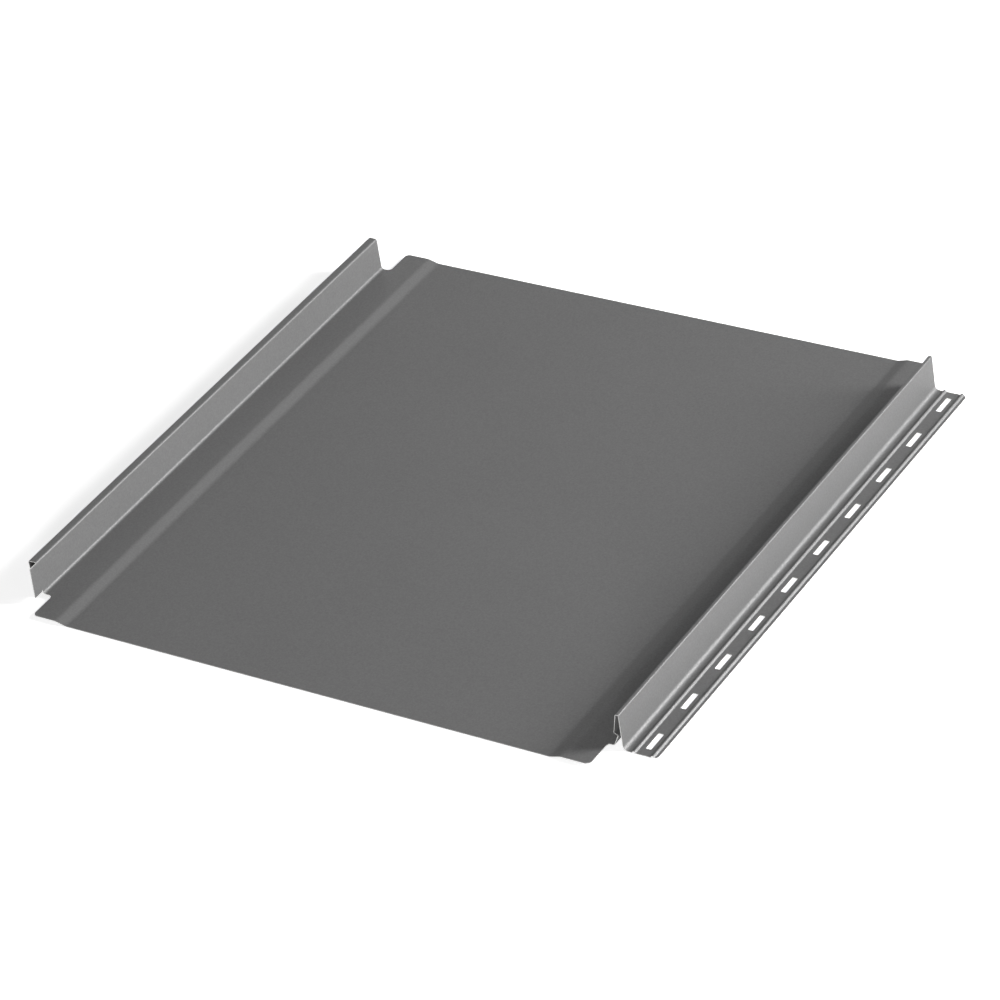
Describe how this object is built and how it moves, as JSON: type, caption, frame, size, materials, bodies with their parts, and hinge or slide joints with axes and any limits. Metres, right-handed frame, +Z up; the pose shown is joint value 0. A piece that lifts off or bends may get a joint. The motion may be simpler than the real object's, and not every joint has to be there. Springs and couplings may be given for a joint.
{
  "type": "standing seam roof panel",
  "caption": "Roll-formed steel roof panel with a flat pan, a hollow cap that clips over the next rib on one side, and a ledged rib with a slotted, beaded fixing flange on the other.",
  "frame": {"origin": "middle of the panel's box in plan, on its flat underside", "axes": "+X across the panel from the cap to the fixing flange, +Y up the roof along the ribs, +Z up off the deck"},
  "size_m": [0.5534, 0.536, 0.0324],
  "materials": {
    "coated_steel": "matte coil coating in dark grey, the same on both faces"
  },
  "bodies": {
    "root": {"roof_panel": "coated_steel"}
  },
  "joints": []
}
